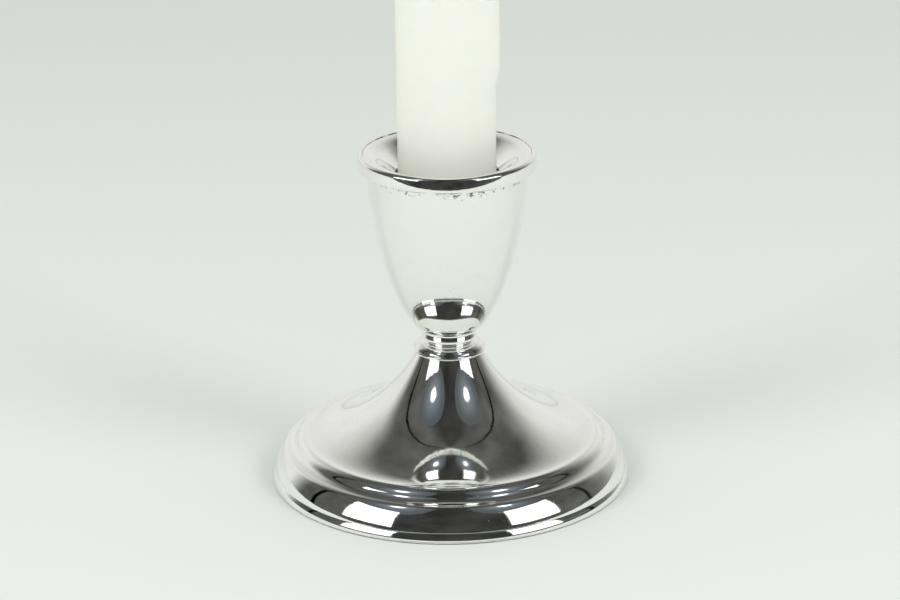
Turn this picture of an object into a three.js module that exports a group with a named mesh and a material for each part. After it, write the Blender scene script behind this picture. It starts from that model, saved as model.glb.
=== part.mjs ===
// A small weighted console candlestick: a spun silver foot and tulip cup, both filled with plaster and
// clamped together by one threaded rod, with a tapered socket that holds a plain candle.
// Millimetres, +Z up. The origin is the middle of the felt's underside, on the surface it stands on.
import * as THREE from 'three';

// ---- driving dimensions -------------------------------------------------------------------------
const GAP = 0.3;                 // clearance between neighbouring pieces
const SHELL = 0.8;               // wall of the two spun shells

const FOOT_RADIUS = 40;          // outer edge of the foot
const LIP_INNER_RADIUS = 36.9;   // how far the foot's turned-in edge reaches
const LIP_BOTTOM = 0.2;          // the edge stays just clear of the table: the felt carries the weight
const LIP_TOP = 0.9;
const LIP_ROUND = 3.87;          // the edge's outer side leans in to meet the band in a crease
const LIP_CENTRE = 36.15;
const FELT_RADIUS = LIP_INNER_RADIUS - GAP;
const FELT_THICKNESS = 0.9;
const DOME_RADIUS = 32;          // where the dome meets the moulded steps of the foot
const DOME_HEIGHT = 10;
const COLLAR_RADIUS = 8.1;       // ridge under the rounded collar at the top of the dome
const COLLAR_HEIGHT = 29.75;
const COLLAR_TOP = 31.5;

const NECK_RADIUS = 5.2;         // narrow waist of the spool between foot and cup
const NECK_TOP = 32.1;
const WAIST_HOLLOW = 0.4;        // depth of the waist's hollow
const SPIGOT_RADIUS = 4;         // the spool's ends, let into the foot and into the cup
const FOOT_SPIGOT = 3.2;
const CUP_SPIGOT = 2.6;

const CUP_FOOT_RADIUS = 6;       // ring under the cup
const CUP_BOTTOM = NECK_TOP + GAP;
const CUP_FLOOR = 34.9;
const CUP_RADIUS = 17.4;         // cup wall under the rim
const CUP_TOP = 71.3;
const RIM_RADIUS = 19.5;         // bold band of the rim, the top of the stick
const RIM_INNER_RADIUS = 18.6;
const RIM_TOP = 75;

const THROAT_RADIUS = 11.4;      // mouth of the candle socket
const THROAT_HEIGHT = 70.4;
const SOCKET_RADIUS = 11;        // socket at its floor: it tapers
const SOCKET_FLOOR = 47.5;
const LINER = 0.6;               // wall of the socket liner

const ROD_RADIUS = 2;            // M4 threaded rod
const HOLE_RADIUS = ROD_RADIUS + GAP;
const ROD_BOTTOM = 1.3;
const PLATE = 1;                 // thickness of the closing plate
const PLATE_RADIUS = 38.1;
const PLATE_BOTTOM = LIP_TOP + GAP;
const DISH_BOTTOM = 5.2;         // underside of the plate's raised middle
const DISH_RADIUS = 8;
const DISH_FOOT_RADIUS = 12;
const WASHER_RADIUS = 5;
const WASHER = 1;
const NUT_ACROSS_FLATS = 7;
const NUT_HEIGHT = 2.2;
const BOSS_RADIUS = 4;
const BOSS_TOP = SOCKET_FLOOR - LINER - GAP;
const BOSS_LENGTH = 5.7;
const BOSS_END = 1;              // solid end above the boss's blind hole

const CANDLE_RADIUS = 11.15;     // a seven-eighths inch candle
const TRIM_RADIUS = 10.7;        // its lower end, trimmed on one side to fit the socket
const TRIM_BOTTOM = 90;          // the sloped shoulder that the trimming leaves
const TRIM_TOP = 94;
const CANDLE_BOTTOM = 52.3;
const CANDLE_LENGTH = 100;
const WICK_RADIUS = 0.9;
const WICK_ROOT = 3;             // wick below the candle's top, and above it
const WICK_SHOWN = 8;

const ROUND = 36;                // facets round a large turned piece
const SMALL_ROUND = 24;

// ---- materials ----------------------------------------------------------------------------------
function finish(color, roughness, metalness) {
  return new THREE.MeshStandardMaterial({ color, roughness, metalness });
}

const silver = finish(0xedebe6, 0.12, 1);
const steel = finish(0x9a9c9e, 0.4, 1);
const brass = finish(0xb8975a, 0.35, 1);
const plaster = finish(0xd9d4c8, 0.95, 0);
const felt = finish(0x2c4a3a, 1, 0);
const wax = finish(0xf6f3e2, 0.45, 0);
const cotton = finish(0xece6d6, 0.9, 0);

// ---- outlines: lists of (radius, height) points -------------------------------------------------
const point = (radius, height) => new THREE.Vector2(radius, height);

function arc(centre, across, up, fromDegrees, toDegrees, steps) {
  const points = [];
  for (let i = 0; i <= steps; i += 1) {
    const angle = THREE.MathUtils.degToRad(fromDegrees + ((toDegrees - fromDegrees) * i) / steps);
    points.push(point(centre.x + across * Math.cos(angle), centre.y + up * Math.sin(angle)));
  }
  return points;
}

function curve(start, leaving, arriving, end, steps) {
  return new THREE.CubicBezierCurve(start, leaving, arriving, end).getPoints(steps);
}

// Moves a line that climbs from the foot up to its left, by a distance towards the axis.
function inset(line, distance) {
  return line.map((here, i) => {
    const before = line[Math.max(i - 1, 0)];
    const after = line[Math.min(i + 1, line.length - 1)];
    const along = after.clone().sub(before).normalize();
    return point(here.x - along.y * distance, here.y + along.x * distance);
  });
}

const downwards = (line) => [...line].reverse();

// Steps of the foot, from its turned edge up to the dome: rounded lower band, its shoulder, the ogee
// above it and the narrow bead under the dome.
const BAND_CENTRE = point(28.56, -0.03);
const BAND_ROUND = 11;           // radius of the lower band's section

const mouldingLine = (steps) => [
  ...arc(BAND_CENTRE, BAND_ROUND, BAND_ROUND, 12.5, 38, 2 * steps),
  ...curve(point(37.23, 6.74), point(37, 7.03), point(36.75, 7.33), point(36.3, 7.4), steps).slice(1),
  ...curve(point(36.3, 7.4), point(35.2, 7.6), point(34.8, 8), point(34.4, 8.5), steps).slice(1),
  ...curve(point(34.4, 8.5), point(34, 9.1), point(33.4, 9.9), point(32.5, DOME_HEIGHT), steps).slice(1),
];

const domeLine = (steps) =>
  curve(
    point(DOME_RADIUS, DOME_HEIGHT),
    point(27.4, DOME_HEIGHT),
    point(14.1, 16.1),
    point(COLLAR_RADIUS - 0.7, COLLAR_HEIGHT - 0.65),
    steps,
  );

const collarLine = (steps) => [
  ...arc(point(COLLAR_RADIUS - 0.5, COLLAR_HEIGHT), 0.5, 0.4, -50, 60, 3),
  ...curve(point(7.8, 30.15), point(7.3, 31.1), point(6.9, 31.35), point(6, COLLAR_TOP), steps),
];

const cupLine = (steps) =>
  curve(point(5.6, CUP_BOTTOM + 1.7), point(10.4, 35.45), point(17.2, 53.5), point(CUP_RADIUS, CUP_TOP), steps);

const dishLine = (steps) =>
  curve(
    point(RIM_INNER_RADIUS - GAP, RIM_TOP - 0.2),
    point(15.4, 74.5),
    point(15.2, 74.2),
    point(THROAT_RADIUS, THROAT_HEIGHT),
    steps,
  );

// A piece turned about Z. Its outline runs counter-clockwise, and it is closed here unless both of
// its ends lie on the axis.
function turned(name, outline, material, facets = ROUND) {
  const onAxis = outline[0].x === 0 && outline[outline.length - 1].x === 0;
  const profile = onAxis ? outline : [...outline, outline[0].clone()];
  const geometry = new THREE.LatheGeometry(profile, facets);
  geometry.rotateX(Math.PI / 2);
  const mesh = new THREE.Mesh(geometry, material);
  mesh.name = name;
  return mesh;
}

// ---- foot ---------------------------------------------------------------------------------------
// Spun shell: turned-in edge, lower band, ogee, narrow bead, flared dome and rounded collar.
function baseShell() {
  const outside = [
    point(LIP_INNER_RADIUS, LIP_BOTTOM),
    point(FOOT_RADIUS - 0.3, LIP_BOTTOM),
    point(FOOT_RADIUS, LIP_BOTTOM + 0.2),
    ...arc(point(LIP_CENTRE, 0.03), LIP_ROUND, LIP_ROUND, 0, 35, 3).slice(1),
    ...mouldingLine(2),
    ...domeLine(9),
    ...collarLine(4),
    point(SPIGOT_RADIUS + GAP, COLLAR_TOP),
  ];
  const inside = [
    point(SPIGOT_RADIUS + GAP, COLLAR_TOP - SHELL),
    ...downwards(inset(domeLine(5), SHELL)),
    ...downwards(inset(mouldingLine(1), SHELL)),
    point(38.9, LIP_TOP),
    point(LIP_INNER_RADIUS, LIP_TOP),
  ];
  return turned('base_shell', [...outside, ...inside], silver);
}

// Plaster that gives the foot its weight, poured over the raised middle of the plate.
function baseFill() {
  const bottom = PLATE_BOTTOM + PLATE + GAP;
  const dishTop = DISH_BOTTOM + PLATE + GAP;
  const fillRound = BAND_ROUND - SHELL - 1.5 * GAP;
  const outline = [
    point(HOLE_RADIUS, dishTop),
    point(DISH_RADIUS + GAP, dishTop),
    point(DISH_FOOT_RADIUS + GAP, bottom),
    point(PLATE_RADIUS - 0.3, bottom),
    ...arc(BAND_CENTRE, fillRound, fillRound, 20, 38, 1),
    point(35.2, 6),
    point(33.4, 7.5),
    ...inset(domeLine(4), SHELL + 1.5 * GAP).slice(0, -1),
    point(6.6, COLLAR_TOP - FOOT_SPIGOT - GAP),
    point(HOLE_RADIUS, COLLAR_TOP - FOOT_SPIGOT - GAP),
  ];
  return turned('base_fill', outline, plaster);
}

// Steel disc that closes the foot. Its middle is raised so that the nut stays clear of the felt.
function basePlate() {
  const outline = [
    point(HOLE_RADIUS, DISH_BOTTOM),
    point(DISH_RADIUS - PLATE / 2, DISH_BOTTOM),
    point(DISH_FOOT_RADIUS - PLATE / 2, PLATE_BOTTOM),
    point(PLATE_RADIUS, PLATE_BOTTOM),
    point(PLATE_RADIUS, PLATE_BOTTOM + PLATE),
    point(DISH_FOOT_RADIUS, PLATE_BOTTOM + PLATE),
    point(DISH_RADIUS, DISH_BOTTOM + PLATE),
    point(HOLE_RADIUS, DISH_BOTTOM + PLATE),
  ];
  return turned('base_plate', outline, steel);
}

function feltPad() {
  const outline = [
    point(0, 0),
    point(FELT_RADIUS, 0),
    point(FELT_RADIUS, FELT_THICKNESS),
    point(0, FELT_THICKNESS),
  ];
  return turned('felt_pad', outline, felt);
}

// ---- clamping rod -------------------------------------------------------------------------------
function tieRod() {
  const top = BOSS_TOP - BOSS_END - GAP;
  const outline = [
    point(0, ROD_BOTTOM),
    point(ROD_RADIUS, ROD_BOTTOM),
    point(ROD_RADIUS, top),
    point(0, top),
  ];
  return turned('tie_rod', outline, steel, SMALL_ROUND);
}

function rodWasher() {
  const top = DISH_BOTTOM - GAP;
  const outline = [
    point(HOLE_RADIUS, top - WASHER),
    point(WASHER_RADIUS, top - WASHER),
    point(WASHER_RADIUS, top),
    point(HOLE_RADIUS, top),
  ];
  return turned('rod_washer', outline, steel, SMALL_ROUND);
}

function rodNut() {
  const cornerRadius = NUT_ACROSS_FLATS / 2 / Math.cos(Math.PI / 6);
  const corners = [];
  for (let i = 0; i < 6; i += 1) {
    const angle = (i * Math.PI) / 3;
    corners.push(point(cornerRadius * Math.cos(angle), cornerRadius * Math.sin(angle)));
  }
  const hexagon = new THREE.Shape(corners);
  const bore = new THREE.Path();
  bore.absarc(0, 0, HOLE_RADIUS, 0, 2 * Math.PI, true);
  hexagon.holes.push(bore);
  const options = { depth: NUT_HEIGHT, bevelEnabled: false, curveSegments: SMALL_ROUND };
  const mesh = new THREE.Mesh(new THREE.ExtrudeGeometry(hexagon, options), steel);
  mesh.name = 'rod_nut';
  mesh.position.z = DISH_BOTTOM - GAP - WASHER - GAP - NUT_HEIGHT;
  return mesh;
}

// Boss brazed under the socket's floor. The rod screws into its blind hole.
function socketBoss() {
  const bottom = BOSS_TOP - BOSS_LENGTH;
  const outline = [
    point(0, BOSS_TOP - BOSS_END),
    point(HOLE_RADIUS, BOSS_TOP - BOSS_END),
    point(HOLE_RADIUS, bottom),
    point(BOSS_RADIUS, bottom),
    point(BOSS_RADIUS, BOSS_TOP),
    point(0, BOSS_TOP),
  ];
  return turned('socket_boss', outline, brass, SMALL_ROUND);
}

// ---- neck and cup -------------------------------------------------------------------------------
// Turned spool. Its waist shows as the narrow neck, and its ends centre the foot and the cup.
function neckSpool() {
  const shoulder = COLLAR_TOP + GAP;
  const middle = (shoulder + NECK_TOP) / 2;
  const outline = [
    point(HOLE_RADIUS, COLLAR_TOP - FOOT_SPIGOT),
    point(SPIGOT_RADIUS, COLLAR_TOP - FOOT_SPIGOT),
    point(SPIGOT_RADIUS, shoulder),
    ...arc(point(NECK_RADIUS + WAIST_HOLLOW, middle), WAIST_HOLLOW, NECK_TOP - middle, 262, 98, 4),
    point(SPIGOT_RADIUS, NECK_TOP),
    point(SPIGOT_RADIUS, NECK_TOP + CUP_SPIGOT),
    point(HOLE_RADIUS, NECK_TOP + CUP_SPIGOT),
  ];
  return turned('neck_spool', outline, silver, SMALL_ROUND);
}

// Tulip shell: foot ring, its sloping top, flaring wall and the bold band of the rim, whose face is
// almost upright and rolls over at the top to hold the dish.
function cupShell() {
  const underRim = point(RIM_RADIUS - 0.55, CUP_TOP + 0.85);
  const face = point(RIM_RADIUS - 10, CUP_TOP + 1.5);
  const roll = point(RIM_INNER_RADIUS, RIM_TOP - 0.8);
  const outside = [
    point(SPIGOT_RADIUS + GAP, CUP_BOTTOM),
    point(CUP_FOOT_RADIUS - 0.2, CUP_BOTTOM),
    point(CUP_FOOT_RADIUS, CUP_BOTTOM + 0.2),
    point(CUP_FOOT_RADIUS, CUP_BOTTOM + 0.6),
    point(CUP_FOOT_RADIUS - 0.4, CUP_BOTTOM + 1.4),
    ...cupLine(10),
    point(CUP_RADIUS + 0.8, CUP_TOP + 0.1),
    ...arc(underRim, 0.5, 0.5, -80, -10, 2),
    ...arc(face, 10, 10, -3, 8, 2),
    ...arc(roll, 0.8, 0.8, 15, 90, 3),
  ];
  const inside = [
    point(RIM_INNER_RADIUS, CUP_TOP + 1.5),
    ...downwards(inset(cupLine(6), SHELL).slice(1)),
    point(6.4, CUP_FLOOR + 0.6),
    point(5.6, CUP_FLOOR),
    point(SPIGOT_RADIUS + GAP, CUP_FLOOR),
  ];
  return turned('cup_shell', [...outside, ...inside], silver);
}

// Drip dish, tapered socket and socket floor, spun as one piece and let into the rim.
function socketLiner() {
  const dish = dishLine(6);
  const underDish = inset(downwards(dish.slice(1, -1)), -LINER);
  const outline = [
    point(0, SOCKET_FLOOR - LINER),
    point(SOCKET_RADIUS + LINER, SOCKET_FLOOR - LINER),
    point(THROAT_RADIUS + LINER, THROAT_HEIGHT - LINER),
    ...underDish,
    point(RIM_INNER_RADIUS - GAP, RIM_TOP - 0.2 - LINER),
    ...dish,
    point(SOCKET_RADIUS, SOCKET_FLOOR),
    point(0, SOCKET_FLOOR),
  ];
  return turned('socket_liner', outline, silver);
}

// Plaster that fills the cup round the socket.
function cupFill() {
  const bossBottom = BOSS_TOP - BOSS_LENGTH - GAP;
  const outline = [
    point(HOLE_RADIUS, CUP_FLOOR + GAP),
    point(5.4, CUP_FLOOR + GAP),
    ...inset(cupLine(5), SHELL + 1.5 * GAP).slice(1, -1),
    point(CUP_RADIUS - SHELL - GAP, CUP_TOP - 2),
    point(THROAT_RADIUS + LINER + GAP, THROAT_HEIGHT - 2),
    point(SOCKET_RADIUS + LINER + GAP, BOSS_TOP),
    point(BOSS_RADIUS + GAP, BOSS_TOP),
    point(BOSS_RADIUS + GAP, bossBottom),
    point(HOLE_RADIUS, bossBottom),
  ];
  return turned('cup_fill', outline, plaster);
}

// ---- candle -------------------------------------------------------------------------------------
// Its foot is trimmed on one side to fit the socket, which leaves a small shoulder. Above the trim
// the body is rounder, and its middle stands off the axis by the difference.
function candle() {
  const top = CANDLE_BOTTOM + CANDLE_LENGTH;
  const outline = [
    point(0, CANDLE_BOTTOM),
    point(TRIM_RADIUS - 0.6, CANDLE_BOTTOM),
    point(TRIM_RADIUS, CANDLE_BOTTOM + 0.6),
    point(TRIM_RADIUS, TRIM_BOTTOM),
    point(CANDLE_RADIUS, TRIM_TOP),
    ...arc(point(CANDLE_RADIUS - 2.5, top - 2.5), 2.5, 2.5, 0, 90, 3),
    point(WICK_RADIUS + GAP, top),
    point(WICK_RADIUS + GAP, top - WICK_ROOT - GAP),
    point(0, top - WICK_ROOT - GAP),
  ];
  const mesh = turned('candle', outline, wax);
  const { position } = mesh.geometry.attributes;
  for (let i = 0; i < position.count; i += 1) {
    const shoulder = (position.getZ(i) - TRIM_BOTTOM) / (TRIM_TOP - TRIM_BOTTOM);
    const shift = (CANDLE_RADIUS - TRIM_RADIUS) * THREE.MathUtils.clamp(shoulder, 0, 1);
    position.setX(i, position.getX(i) + shift);
  }
  return mesh;
}

function wick() {
  const outline = [
    point(0, -WICK_ROOT),
    point(WICK_RADIUS, -WICK_ROOT),
    point(WICK_RADIUS, WICK_SHOWN),
    point(0, WICK_SHOWN),
  ];
  const mesh = turned('wick', outline, cotton, SMALL_ROUND);
  mesh.position.set(CANDLE_RADIUS - TRIM_RADIUS, 0, CANDLE_BOTTOM + CANDLE_LENGTH);
  return mesh;
}

// ---- assembly -----------------------------------------------------------------------------------
const stick = new THREE.Group();
stick.add(baseShell(), baseFill(), basePlate(), feltPad());
stick.add(tieRod(), rodWasher(), rodNut(), socketBoss());
stick.add(neckSpool(), cupShell(), cupFill(), socketLiner());

const light = new THREE.Group();
light.add(candle(), wick());

const group = new THREE.Group();
group.add(stick, light);

export default group;
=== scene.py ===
import math

import bpy
from mathutils import Matrix, Vector


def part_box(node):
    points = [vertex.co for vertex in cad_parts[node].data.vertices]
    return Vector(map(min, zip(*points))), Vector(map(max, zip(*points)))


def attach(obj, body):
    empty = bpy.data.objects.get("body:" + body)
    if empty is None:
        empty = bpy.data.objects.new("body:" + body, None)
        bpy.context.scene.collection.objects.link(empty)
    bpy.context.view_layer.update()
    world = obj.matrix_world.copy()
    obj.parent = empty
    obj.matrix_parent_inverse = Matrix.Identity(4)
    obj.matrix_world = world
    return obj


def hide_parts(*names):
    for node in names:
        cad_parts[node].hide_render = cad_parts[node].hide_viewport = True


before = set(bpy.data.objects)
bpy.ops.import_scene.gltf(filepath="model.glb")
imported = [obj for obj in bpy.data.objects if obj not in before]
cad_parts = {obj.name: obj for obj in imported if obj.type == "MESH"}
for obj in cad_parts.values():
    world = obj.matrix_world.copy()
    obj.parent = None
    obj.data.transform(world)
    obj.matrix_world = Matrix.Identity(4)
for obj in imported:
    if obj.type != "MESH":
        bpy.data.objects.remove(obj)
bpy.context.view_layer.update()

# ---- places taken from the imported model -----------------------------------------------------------
COLLAR_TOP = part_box("base_shell")[1].z
CUP_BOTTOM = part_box("cup_shell")[0].z
SOCKET_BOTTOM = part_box("socket_liner")[0].z
NECK_LOW, NECK_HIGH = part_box("neck_spool")
FELT_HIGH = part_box("felt_pad")[1]
CANDLE_LOW, CANDLE_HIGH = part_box("candle")
WICK_LOW, WICK_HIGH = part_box("wick")

# ---- sizes, in metres -----------------------------------------------------------------------------
MM = 0.001
WALL = 0.8 * MM                      # thickness of the spun shells
LINER_WALL = 0.6 * MM                # thickness of the dish and socket
SPIGOT_HOLE = 4.3 * MM               # hole in foot and cup for the ends of the neck
SPIGOT = 4.0 * MM
ROD_HOLE = 2.3 * MM
NECK_RADIUS = 5.2 * MM
FELT_EDGE = 0.12 * MM                # rounding of the felt's edge
TRIM_BOTTOM = 90 * MM                # the candle is trimmed up to here, and full above TRIM_TOP
TRIM_TOP = 94 * MM
TRIM_RADIUS = 10.7 * MM
WICK_WELL = 1.2 * MM                 # hole for the wick in the candle's top
WELL_DEPTH = 3.3 * MM

# ---- sizes of the outlines, in millimetres --------------------------------------------------------
BAND_ROUND = 11                      # section of the foot's lower band
LIP_ROUND = 3.87                     # section of the turned-in edge under it
LIP_INNER = 36.9
LIP_BOTTOM = 0.2
LIP_TOP = 0.9
WAIST_HOLLOW = 0.4
CUP_FLOOR = 34.9
RIM_FACE = 10                        # section of the rim's face, which is almost upright
RIM_ROLL = 0.8                       # and of the roll on top of it
SOCKET_FLOOR = 47.5
CANDLE_ROUND = 2.5                   # rounding of the candle's top edge

AROUND = 288                         # facets round a large turned piece


# ---- outlines: lists of (radius, height) ----------------------------------------------------------
def at(radius_mm, height_mm):
    return Vector((radius_mm * MM, height_mm * MM))


def arc(centre, across_mm, up_mm, start_deg, end_deg, steps):
    points = []
    for i in range(steps + 1):
        angle = math.radians(start_deg + (end_deg - start_deg) * i / steps)
        points.append(centre + Vector((across_mm * MM * math.cos(angle), up_mm * MM * math.sin(angle))))
    return points


def curve(start, leaving, arriving, end, steps):
    points = []
    for i in range(steps + 1):
        t = i / steps
        s = 1 - t
        points.append(s**3 * start + 3 * s * s * t * leaving + 3 * s * t * t * arriving + t**3 * end)
    return points


def inset(line, distance):
    """The line moved towards the axis. It climbs from the foot up to its left."""
    moved = []
    for i, here in enumerate(line):
        along = (line[min(i + 1, len(line) - 1)] - line[max(i - 1, 0)]).normalized()
        moved.append(here + Vector((-along.y, along.x)) * distance)
    return moved


def moulding_line(steps):
    """Steps of the foot: lower band, its shoulder, the ogee and the narrow bead under the dome."""
    line = arc(at(28.56, -0.03), BAND_ROUND, BAND_ROUND, 12.5, 38, 3 * steps)
    line += curve(at(37.23, 6.74), at(37, 7.03), at(36.75, 7.33), at(36.3, 7.4), steps)[1:]
    line += curve(at(36.3, 7.4), at(35.2, 7.6), at(34.8, 8.0), at(34.4, 8.5), 2 * steps)[1:]
    line += curve(at(34.4, 8.5), at(34.0, 9.1), at(33.4, 9.9), at(32.5, 10), 2 * steps)[1:]
    return line


def dome_line(steps):
    return curve(at(32, 10), at(27.4, 10), at(14.1, 16.1), at(7.4, 29.1), steps)


def cup_line(steps):
    return curve(at(5.6, 34.1), at(10.4, 35.45), at(17.2, 53.5), at(17.4, 71.3), steps)


def dish_line(steps):
    return curve(at(18.3, 74.8), at(15.4, 74.5), at(15.2, 74.2), at(11.4, 70.4), steps)


# ---- meshes ---------------------------------------------------------------------------------------
SHARP_EDGE = math.radians(38)        # faces that meet at more than this are shaded with a crease
ON_AXIS = 1e-9


def new_object(name, vertices, faces):
    mesh = bpy.data.meshes.new(name)
    mesh.from_pydata(vertices, [], faces)
    mesh.polygons.foreach_set("use_smooth", [True] * len(mesh.polygons))
    mesh.set_sharp_from_angle(angle=SHARP_EDGE)
    mesh.validate()
    made = bpy.data.objects.new(name, mesh)
    bpy.context.scene.collection.objects.link(made)
    return made


def turned(name, outline, around=AROUND, shift=None):
    """A piece turned about Z. The outline runs counter-clockwise, and closes on itself or on the axis.
    A shift moves each row of points sideways by an amount that depends on its height."""
    vertices = []
    rows = []
    for point in outline:
        move = shift(point.y) if shift else Vector((0, 0, 0))
        if point.x < ON_AXIS:
            rows.append([len(vertices)] * around)
            vertices.append(Vector((0, 0, point.y)) + move)
            continue
        rows.append(list(range(len(vertices), len(vertices) + around)))
        for i in range(around):
            angle = 2 * math.pi * i / around
            unmoved = Vector((point.x * math.cos(angle), point.x * math.sin(angle), point.y))
            vertices.append(unmoved + move)
    closed_on_axis = outline[0].x < ON_AXIS and outline[-1].x < ON_AXIS
    pairs = list(zip(rows, rows[1:]))
    if not closed_on_axis:
        pairs.append((rows[-1], rows[0]))
    faces = []
    for low, high in pairs:
        for i in range(around):
            j = (i + 1) % around
            corners = [low[i], low[j], high[j], high[i]]
            face = [c for k, c in enumerate(corners) if c not in corners[:k]]
            if len(face) > 2:
                faces.append(face)
    return new_object(name, vertices, faces)


def place(piece, body, slot, material, *nodes):
    piece.data.materials.clear()
    piece.data.materials.append(material)
    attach(piece, body)
    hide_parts(*nodes)


# ---- node materials -------------------------------------------------------------------------------
class Nodes:
    """Short calls for building one material's node tree."""

    def __init__(self, name):
        self.material = bpy.data.materials.new(name)
        self.material.use_nodes = True
        self.tree = self.material.node_tree
        self.shader = self.tree.nodes["Principled BSDF"]

    def link(self, value, socket):
        if isinstance(value, bpy.types.NodeSocket):
            self.tree.links.new(value, socket)
        else:
            socket.default_value = value

    def add(self, kind, inputs, output=0, **settings):
        made = self.tree.nodes.new(kind)
        for key, value in settings.items():
            setattr(made, key, value)
        for key, value in inputs.items():
            self.link(value, made.inputs[key])
        return made.outputs[output]

    def math(self, operation, first, second=0.0, third=0.5):
        return self.add("ShaderNodeMath", {0: first, 1: second, 2: third}, operation=operation)

    def product(self, first, *others):
        for other in others:
            first = self.math("MULTIPLY", first, other)
        return first

    def length(self, x, y):
        return self.math("SQRT", self.math("ADD", self.product(x, x), self.product(y, y)))

    def coords(self):
        return self.add("ShaderNodeTexCoord", {}, output="Object")

    def split(self, vector):
        made = self.tree.nodes.new("ShaderNodeSeparateXYZ")
        self.link(vector, made.inputs[0])
        return made.outputs

    def join(self, x, y, z):
        return self.add("ShaderNodeCombineXYZ", {0: x, 1: y, 2: z})

    def noise(self, vector, scale, detail=2.0, roughness=0.5, distortion=0.0):
        inputs = {"Vector": vector, "Scale": scale, "Detail": detail}
        inputs.update({"Roughness": roughness, "Distortion": distortion})
        return self.add("ShaderNodeTexNoise", inputs)

    def ramp(self, value, low, high, to_low=0.0, to_high=1.0, smooth=True):
        inputs = {"Value": value, "From Min": low, "From Max": high, "To Min": to_low, "To Max": to_high}
        kind = "SMOOTHSTEP" if smooth else "LINEAR"
        return self.add("ShaderNodeMapRange", inputs, interpolation_type=kind)

    def mix(self, factor, first, second):
        made = self.tree.nodes.new("ShaderNodeMix")
        made.data_type = "RGBA"
        self.link(factor, made.inputs[0])
        self.link(first, made.inputs[6])
        self.link(second, made.inputs[7])
        return made.outputs[2]

    def bump(self, height, distance, normal=None):
        inputs = {"Height": height, "Distance": distance, "Strength": 1.0}
        if normal is not None:
            inputs["Normal"] = normal
        return self.add("ShaderNodeBump", inputs)

    def set(self, **values):
        for key, value in values.items():
            self.link(value, self.shader.inputs[key.replace("_", " ")])


def rgb(red, green, blue):
    return (red, green, blue, 1.0)


RINGS_PER_METRE = 9000.0             # fineness of the marks left by buffing on the lathe


def buffing_rings(n, coords):
    """Noise that is fine along the outline and long around the axis."""
    x, y, z = n.split(coords)
    radius = n.length(x, y)
    climb = n.math("ADD", n.product(radius, RINGS_PER_METRE), n.product(z, RINGS_PER_METRE))
    return n.noise(n.join(n.math("DIVIDE", x, radius), n.math("DIVIDE", y, radius), climb), 1.0, detail=3.0)


def dried_polish(n, coords, worn):
    """Dark specks left in the corner under the rim, only on the outside of the cup."""
    x, y, z = n.split(coords)
    under_rim = n.product(n.ramp(z, 69.5 * MM, 71.2 * MM), n.ramp(z, 72.2 * MM, 71.6 * MM))
    outside_cup = n.ramp(n.length(x, y), 16.5 * MM, 16.9 * MM)
    residue = n.noise(coords, 1100.0, detail=4.0, roughness=0.7)
    patchy = n.product(n.ramp(residue, 0.55, 0.60), n.ramp(worn, 0.38, 0.46))
    return n.product(under_rim, outside_cup, patchy)


def silver_material():
    """Polished silver: faint buffing rings, handling scratches, shallow dents, small pits and specks."""
    n = Nodes("polished_silver")
    coords = n.coords()
    rings = buffing_rings(n, coords)
    stretch = {"Vector": coords, "Rotation": (0.7, 0.4, 1.1), "Scale": (250.0, 9000.0, 900.0)}
    scratches = n.noise(n.add("ShaderNodeMapping", stretch), 1.0, detail=2.0)
    worn = n.noise(coords, 70.0, detail=3.0)
    grit = n.noise(coords, 1500.0, detail=2.0, roughness=0.6)
    pits = n.product(n.ramp(grit, 0.70, 0.74), n.ramp(worn, 0.50, 0.60))
    tarnish = n.math("MAXIMUM", n.product(pits, 0.7), dried_polish(n, coords, worn))
    waves = n.noise(coords, 95.0, detail=1.0)
    dents = n.noise(coords, 420.0, detail=2.0, roughness=0.6)
    cloud = n.noise(coords, 45.0, detail=4.0, roughness=0.6)
    colour = n.mix(n.ramp(cloud, 0.35, 0.75), rgb(0.945, 0.94, 0.925), rgb(0.91, 0.905, 0.875))
    colour = n.mix(tarnish, colour, rgb(0.16, 0.145, 0.11))
    buffed = n.ramp(rings, 0.3, 0.8, 0.03, 0.075)
    dulled = n.ramp(cloud, 0.4, 0.8, 0.0, 0.05)
    roughness = n.math("ADD", n.math("ADD", buffed, dulled), n.product(tarnish, 0.4))
    normal = None
    depths_mm = ((waves, 0.04), (dents, 0.008), (rings, 0.0006), (scratches, 0.001), (tarnish, -0.01))
    for height, depth in depths_mm:
        normal = n.bump(height, depth * MM, normal)
    n.set(Base_Color=colour, Roughness=roughness, Normal=normal, Metallic=1.0)
    return n.material


def wax_material():
    n = Nodes("ivory_wax")
    coords = n.coords()
    stretch = {"Vector": coords, "Scale": (160.0, 160.0, 30.0)}
    streaks = n.noise(n.add("ShaderNodeMapping", stretch), 1.0)
    mottle = n.noise(coords, 220.0, detail=3.0)
    colour = n.mix(n.ramp(streaks, 0.3, 0.7), rgb(0.98, 0.98, 0.895), rgb(0.965, 0.965, 0.87))
    normal = n.bump(mottle, 0.02 * MM, n.bump(streaks, 0.08 * MM))
    n.set(Base_Color=colour, Roughness=n.ramp(mottle, 0.3, 0.7, 0.38, 0.5), Normal=normal)
    n.set(Subsurface_Weight=0.35, Subsurface_Radius=(0.008, 0.007, 0.004), Subsurface_Scale=1.0)
    return n.material


def felt_material():
    n = Nodes("wool_felt")
    coords = n.coords()
    fibres = n.noise(coords, 1800.0, detail=6.0, roughness=0.7, distortion=1.5)
    cloud = n.noise(coords, 120.0, detail=3.0)
    colour = n.mix(fibres, rgb(0.02, 0.06, 0.04), rgb(0.05, 0.12, 0.08))
    colour = n.mix(n.ramp(cloud, 0.4, 0.7), colour, rgb(0.05, 0.10, 0.075))
    n.set(Base_Color=colour, Roughness=0.95, Normal=n.bump(fibres, 0.3 * MM), Sheen_Weight=0.4)
    return n.material


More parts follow.
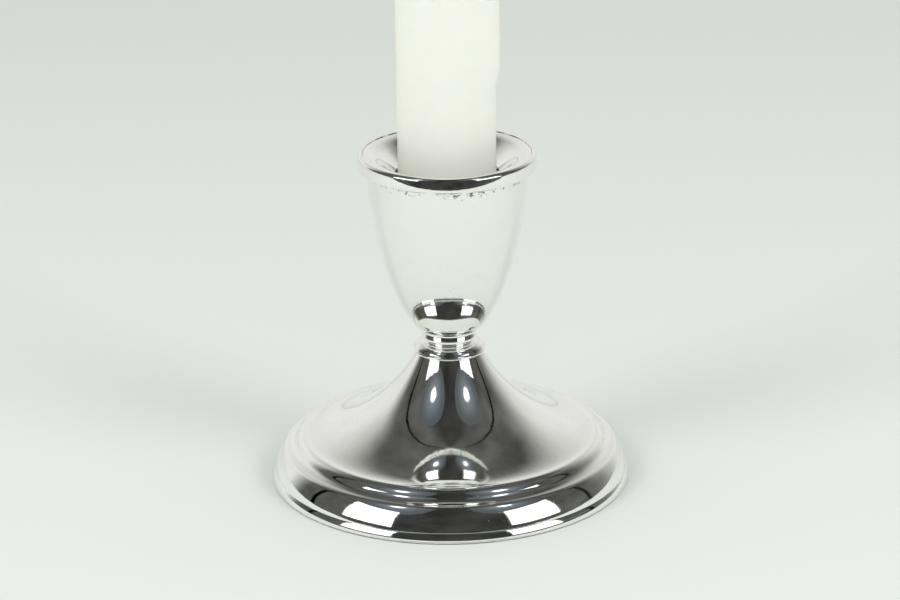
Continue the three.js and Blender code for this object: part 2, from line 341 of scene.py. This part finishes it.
def cotton_material():
    n = Nodes("braided_cotton")
    stretch = {"Vector": n.coords(), "Scale": (1.0, 1.0, 0.25)}
    fibres = n.noise(n.add("ShaderNodeMapping", stretch), 6000.0)
    colour = n.mix(fibres, rgb(0.80, 0.76, 0.66), rgb(0.93, 0.90, 0.82))
    n.set(Base_Color=colour, Roughness=0.9, Normal=n.bump(fibres, 0.06 * MM))
    return n.material


def metal_material(name, light, dark, roughness):
    """Plain metal for the pieces sealed inside, with fine grain."""
    n = Nodes(name)
    grain = n.noise(n.coords(), 900.0, detail=4.0)
    n.set(Base_Color=n.mix(grain, rgb(*dark), rgb(*light)), Metallic=1.0)
    n.set(Roughness=n.ramp(grain, 0.2, 0.8, roughness - 0.08, roughness + 0.08))
    return n.material


def plaster_material():
    n = Nodes("cast_plaster")
    grit = n.noise(n.coords(), 700.0, detail=5.0, roughness=0.7)
    colour = n.mix(grit, rgb(0.62, 0.59, 0.52), rgb(0.84, 0.81, 0.74))
    n.set(Base_Color=colour, Roughness=0.95, Normal=n.bump(grit, 0.2 * MM))
    return n.material


# ---- the stick ------------------------------------------------------------------------------------
def foot_outline():
    """Turned-in edge, mouldings, dome and collar, then back down the inside of the shell."""
    outside = [at(LIP_INNER, LIP_BOTTOM), at(39.6, LIP_BOTTOM)]
    outside += arc(at(39.74, 0.42), 0.24, 0.22, -90, 0, 6)
    outside += arc(at(36.11, 0.03), LIP_ROUND, LIP_ROUND, 7, 34, 10)
    outside += [at(39.26, 2.27)]     # crease between the turned-in edge and the band
    outside += moulding_line(8)
    outside += dome_line(70)
    outside += arc(at(7.6, 29.75), 0.5, 0.4, -50, 60, 12)     # thin ridge, and the collar above it
    outside += curve(at(7.8, 30.15), at(7.3, 31.1), at(6.9, 31.35), Vector((6.0 * MM, COLLAR_TOP)), 14)
    outside += [Vector((SPIGOT_HOLE, COLLAR_TOP))]
    inside = [Vector((SPIGOT_HOLE, COLLAR_TOP - WALL))]
    inside += reversed(inset(dome_line(16), WALL))
    inside += reversed(inset(moulding_line(2), WALL))
    inside += [at(38.9, LIP_TOP), at(LIP_INNER, LIP_TOP)]
    return outside + inside


def neck_outline():
    """Spool with a hollow waist. Its ends sit in the foot and in the cup."""
    middle = (COLLAR_TOP + CUP_BOTTOM) / 2
    half_mm = (CUP_BOTTOM - COLLAR_TOP) / 2 / MM
    centre = Vector((NECK_RADIUS + WAIST_HOLLOW * MM, middle))
    outline = [Vector((ROD_HOLE, NECK_LOW.z)), Vector((SPIGOT, NECK_LOW.z)), Vector((SPIGOT, COLLAR_TOP))]
    outline += arc(centre, WAIST_HOLLOW, half_mm, 265, 95, 14)
    outline += [Vector((SPIGOT, CUP_BOTTOM)), Vector((SPIGOT, NECK_HIGH.z))]
    return outline + [Vector((ROD_HOLE, NECK_HIGH.z))]


def cup_outline():
    """Foot ring and its sloping top, flaring wall, then the rim: its underside, face and roll."""
    outside = [Vector((SPIGOT_HOLE, CUP_BOTTOM))]
    outside += arc(at(5.8, 32.6), 0.2, 0.2, -90, 0, 6)
    outside += arc(at(5.88, 32.94), 0.12, 0.12, 0, 66, 4)
    outside += curve(at(5.92, 33.06), at(5.72, 33.5), at(5.56, 33.85), at(5.6, 34.1), 8)
    outside += cup_line(70)[1:]
    outside += [at(18.2, 71.4)]
    outside += arc(at(18.95, 72.15), 0.5, 0.5, -80, -10, 8)
    outside += arc(at(9.5, 72.8), RIM_FACE, RIM_FACE, -3, 8, 10)
    outside += arc(at(18.6, 74.2), RIM_ROLL, RIM_ROLL, 12, 90, 12)
    outside += [at(18.38, 74.96), at(18.36, 74.9)]
    inside = [at(18.36, 74), at(18.5, 72.9)]
    inside += reversed(inset(cup_line(18)[1:], WALL))
    inside += [at(6.4, CUP_FLOOR + 0.6), at(5.6, CUP_FLOOR), Vector((SPIGOT_HOLE, CUP_FLOOR * MM))]
    return outside + inside


def liner_outline():
    """Socket floor, tapered socket and drip dish, with the dish's edge let into the rim."""
    under_dish = inset(list(reversed(dish_line(20)[2:-2])), -LINER_WALL)
    outline = [Vector((0, SOCKET_BOTTOM)), at(11.4, 46.9), at(11.6, 47.1), at(12.0, 69.8)]
    outline += under_dish
    outline += [at(18.2, 74.2), at(18.3, 74.3)]
    outline += dish_line(30)
    outline += arc(at(11.7, 70.1), 0.36, 0.36, 120, 180, 4)
    return outline + [at(11.0, SOCKET_FLOOR + 0.2), at(10.8, SOCKET_FLOOR), at(0, SOCKET_FLOOR)]


def stick(silver):
    place(turned("foot", foot_outline()), "stick", "silver", silver, "base_shell")
    place(turned("neck", neck_outline(), 96), "stick", "silver", silver, "neck_spool")
    place(turned("cup", cup_outline()), "stick", "silver", silver, "cup_shell")
    place(turned("drip_dish", liner_outline()), "stick", "silver", silver, "socket_liner")


def pad(felt):
    radius = FELT_HIGH.x
    top = FELT_HIGH.z
    outline = [Vector((radius * k / 12, 0)) for k in range(12)]
    outline += [Vector((radius - FELT_EDGE, 0)), Vector((radius, FELT_EDGE))]
    outline += [Vector((radius, top - FELT_EDGE)), Vector((radius - FELT_EDGE, top)), Vector((0, top))]
    place(turned("felt", outline, 144), "stick", "felt", felt, "felt_pad")


# ---- the candle -----------------------------------------------------------------------------------
def trim_shift(height):
    """The candle was trimmed on its left side only, so its full part stands off the axis to the right."""
    share = min(max((height - TRIM_BOTTOM) / (TRIM_TOP - TRIM_BOTTOM), 0), 1)
    return Vector(((CANDLE_HIGH.y - TRIM_RADIUS) * share, 0, 0))


def candle_outline():
    radius = CANDLE_HIGH.y
    low = CANDLE_LOW.z
    top = CANDLE_HIGH.z
    chamfer = 0.6 * MM
    well_chamfer = 0.3 * MM
    round_top = Vector((radius - CANDLE_ROUND * MM, top - CANDLE_ROUND * MM))
    outline = [Vector((0, low)), Vector((TRIM_RADIUS - chamfer, low))]
    outline += [Vector((TRIM_RADIUS, low + chamfer))]
    outline += [Vector((TRIM_RADIUS, low + (TRIM_BOTTOM - low) * k / 12)) for k in range(1, 13)]
    outline += [Vector((radius, TRIM_TOP + (round_top.y - TRIM_TOP) * k / 16)) for k in range(16)]
    outline += arc(round_top, CANDLE_ROUND, CANDLE_ROUND, 0, 90, 10)
    outline += [Vector((WICK_WELL + well_chamfer, top)), Vector((WICK_WELL, top - well_chamfer))]
    return outline + [Vector((WICK_WELL, top - WELL_DEPTH)), Vector((0, top - WELL_DEPTH))]


def candle(wax):
    made = turned("wax_candle", candle_outline(), 192, shift=trim_shift)
    place(made, "candle_body", "wax", wax, "candle")


def wick(cotton):
    """Three strands twisted together."""
    strands = 3
    sides = 10
    steps = 60
    turns = 2.5
    middle_x = (WICK_LOW.x + WICK_HIGH.x) / 2
    reach = WICK_HIGH.x - middle_x
    strand_radius = reach / 2
    vertices = []
    faces = []
    for k in range(strands):
        first = len(vertices)
        for i in range(steps + 1):
            height = WICK_LOW.z + (WICK_HIGH.z - WICK_LOW.z) * i / steps
            twist = 2 * math.pi * (k / strands + turns * i / steps)
            off_axis = Vector((math.cos(twist), math.sin(twist))) * (reach - strand_radius)
            for j in range(sides):
                angle = 2 * math.pi * j / sides
                across = off_axis + Vector((math.cos(angle), math.sin(angle))) * strand_radius
                vertices.append((middle_x + across.x, across.y, height))
        for i in range(steps):
            for j in range(sides):
                a = first + i * sides + j
                b = first + i * sides + (j + 1) % sides
                faces.append((a, b, b + sides, a + sides))
        faces.append([first + j for j in reversed(range(sides))])
        faces.append([first + steps * sides + j for j in range(sides)])
    place(new_object("twisted_wick", vertices, faces), "candle_body", "wick", cotton, "wick")


# ---- pieces sealed inside: the CAD solids, with their own materials -------------------------------
def inner_pieces():
    plaster = plaster_material()
    steel = metal_material("plain_steel", (0.62, 0.63, 0.65), (0.50, 0.51, 0.52), 0.4)
    brass = metal_material("turned_brass", (0.80, 0.64, 0.36), (0.62, 0.48, 0.25), 0.32)
    looks = {"base_fill": plaster, "cup_fill": plaster, "socket_boss": brass}
    looks.update({name: steel for name in ("base_plate", "tie_rod", "rod_nut", "rod_washer")})
    for name, material in looks.items():
        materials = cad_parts[name].data.materials
        materials.clear()
        materials.append(material)


# ---- studio ---------------------------------------------------------------------------------------
ROOM = 1.3                           # radius of the shell of room that the silver reflects
DARK = 0.10                          # brightness of the unlit room
PAPER = 0.80                         # brightness of the white paper round the back
TABLE_FRONT = -0.21                  # front edge of the table top, as the silver reflects it
TABLE_LIFT = 0.05 * MM               # keeps the reflected table top clear of the floor


def seen_by(thing, camera=False, diffuse=False, glossy=False, shadow=False):
    """Which kinds of light path meet a thing. It is left out of the others."""
    thing.visible_camera = camera
    thing.visible_diffuse = diffuse
    thing.visible_glossy = glossy
    thing.visible_transmission = diffuse
    thing.visible_volume_scatter = False
    thing.visible_shadow = shadow


def paper_material():
    n = Nodes("pale_paper")
    n.set(Base_Color=rgb(0.83, 0.855, 0.82), Roughness=0.6, Specular_IOR_Level=0.0)
    return n.material


def softbox_material():
    n = Nodes("softbox_glow")
    n.set(Base_Color=rgb(0, 0, 0), Specular_IOR_Level=0.0)
    n.set(Emission_Color=rgb(1.0, 1.0, 0.99), Emission_Strength=1.6)
    return n.material


def room_material():
    """White paper behind and beside the stick that fades out upwards, in a dim grey room."""
    n = Nodes("room_glow")
    degree = math.radians(1)
    x, y, z = n.split(n.coords())
    slope = n.math("DIVIDE", z, n.length(x, y))
    turn = n.math("ARCTAN2", n.math("ABSOLUTE", x), n.product(y, -1.0))
    left = n.math("LESS_THAN", x, 0.0)
    onset = n.ramp(left, 0.0, 1.0, 100 * degree, 108 * degree, smooth=False)
    full = n.ramp(left, 0.0, 1.0, 150 * degree, 128 * degree, smooth=False)
    low = n.ramp(slope, math.tan(20 * degree), math.tan(54 * degree), 1.0, 0.0)
    white = n.product(n.ramp(turn, onset, full), low)
    wall = n.ramp(turn, 30 * degree, 85 * degree, 0.45, 1.0)
    seam = n.math("COMPARE", turn, 97 * degree, 1.5 * degree)
    unlit = n.product(n.noise(n.coords(), 2.5, detail=3.0), wall, 2 * DARK, n.math("SUBTRACT", 1.0, seam))
    n.set(Base_Color=rgb(0, 0, 0), Specular_IOR_Level=0.0)
    n.set(Emission_Color=n.mix(white, rgb(0.97, 1.0, 0.92), rgb(1.0, 1.0, 0.975)))
    n.set(Emission_Strength=n.math("ADD", n.product(white, PAPER - DARK), unlit))
    return n.material


def umbrella_material():
    """A lamp shining into a large round umbrella: a hot middle in a dim bluish face."""
    n = Nodes("umbrella_glow")
    x, y, _ = n.split(n.coords())
    away = n.length(x, y)
    hot = n.ramp(away, 0.045, 0.095, 2.2, 0.0)
    halo = n.ramp(away, 0.05, 0.30, 0.16 + DARK, 0.02 + DARK)
    n.set(Base_Color=rgb(0, 0, 0), Specular_IOR_Level=0.0, Emission_Color=rgb(0.82, 0.92, 1.0))
    n.set(Emission_Strength=n.math("ADD", hot, halo))
    return n.material


def direction(azimuth, elevation):
    """Unit vector away from the stick. Azimuth 0 is the camera's side, and it grows to the right."""
    a, e = math.radians(azimuth), math.radians(elevation)
    return Vector((math.sin(a) * math.cos(e), -math.cos(a) * math.cos(e), math.sin(e)))


def facing(away):
    """Rotation that turns an object's Z axis along the given direction."""
    return away.to_track_quat("Z", "Y").to_euler()


def patch(name, azimuths, elevations, distance, material, across=24, up=12):
    """Part of a sphere round the stick, seen only in the silver."""
    vertices = []
    for j in range(up + 1):
        elevation = elevations[0] + (elevations[1] - elevations[0]) * j / up
        for i in range(across + 1):
            azimuth = azimuths[0] + (azimuths[1] - azimuths[0]) * i / across
            vertices.append(direction(azimuth, elevation) * distance)
    row = across + 1
    faces = [(j * row + i, j * row + i + 1, (j + 1) * row + i + 1, (j + 1) * row + i)
             for j in range(up) for i in range(across)]
    made = new_object(name, vertices, faces)
    made.data.materials.append(material)
    seen_by(made, glossy=True)


def sheet(name, corners, material):
    """One flat face that belongs to the studio."""
    made = new_object(name, corners, [list(range(len(corners)))])
    made.data.materials.append(material)
    return made


def umbrella(name, azimuth, elevation, distance, radius, material):
    """A round glowing face turned towards the stick, seen only in the silver."""
    away = direction(azimuth, elevation)
    edge = [2 * math.pi * i / 48 for i in range(48)]
    face = sheet(name, [(radius * math.cos(a), radius * math.sin(a), 0) for a in edge], material)
    face.location = away * distance
    face.rotation_euler = facing(away)
    seen_by(face, glossy=True)


def rectangle(side, front, back, height):
    return [(-side, front, height), (side, front, height), (side, back, height), (-side, back, height)]


def floor():
    """Wide paper floor, and the part of it that is near enough for the silver to reflect."""
    paper = paper_material()
    wide = sheet("floor", rectangle(9.0, -9.0, 9.0, 0), paper)
    seen_by(wide, camera=True, diffuse=True, shadow=True)
    table = sheet("table_top", rectangle(ROOM, TABLE_FRONT, ROOM, TABLE_LIFT), paper)
    seen_by(table, glossy=True)


def lamp(name, azimuth, elevation, distance, size, power):
    """A soft area lamp aimed at the cup. It lights the scene but isn't seen in the silver."""
    away = direction(azimuth, elevation)
    cup_height = 0.04
    data = bpy.data.lights.new(name, "AREA")
    data.shape = "SQUARE"
    data.size = size
    data.energy = power
    made = bpy.data.objects.new(name, data)
    made.location = away * distance + Vector((0, 0, cup_height))
    made.rotation_euler = facing(away)
    bpy.context.scene.collection.objects.link(made)
    made.visible_camera = False
    made.visible_glossy = False


def sky():
    """Even light from all round, which the silver doesn't reflect."""
    world = bpy.data.worlds.new("studio")
    world.use_nodes = True
    bpy.context.scene.world = world
    background = world.node_tree.nodes["Background"]
    background.inputs["Color"].default_value = rgb(0.98, 1.0, 0.98)
    background.inputs["Strength"].default_value = 0.61
    world.cycles_visibility.glossy = False


def studio():
    sky()
    floor()
    patch("room", (-180, 180), (-30, 90), ROOM, room_material(), across=96, up=36)
    softbox = softbox_material()
    umbrella_face = umbrella_material()
    patch("left_softbox", (-71, -37), (6, 38), 0.9, softbox)
    patch("right_softbox", (37, 71), (6, 37), 0.9, softbox)
    for side, name in ((-1, "left"), (1, "right")):
        umbrella(name + "_umbrella", 46 * side, 52, 1.0, 0.34, umbrella_face)
        lamp(name + "_lamp", 55 * side, 38, 0.9, 0.32, 2.0)
    lamp("top_lamp", 0, 80, 1.0, 1.0, 1.2)


def camera():
    """Looks down at the stick from the front, very slightly rolled."""
    viewpoint = Vector((0, -0.65, 0.282))
    pitch = math.radians(20.36)
    roll = math.radians(-0.7)
    data = bpy.data.cameras.new("camera")
    data.lens = 126.0
    data.sensor_width = 36.0
    data.shift_x = 1.3 / 900
    data.clip_start = 0.01
    made = bpy.data.objects.new("camera", data)
    bpy.context.scene.collection.objects.link(made)
    looking = Matrix.Rotation(math.pi / 2 - pitch, 4, "X")
    made.matrix_world = Matrix.Translation(viewpoint) @ looking @ Matrix.Rotation(roll, 4, "Z")
    bpy.context.scene.camera = made


# ---- scene ----------------------------------------------------------------------------------------
camera()
stick(silver_material())
pad(felt_material())
candle(wax_material())
wick(cotton_material())
inner_pieces()
studio()
bpy.context.scene.view_settings.view_transform = "Standard"
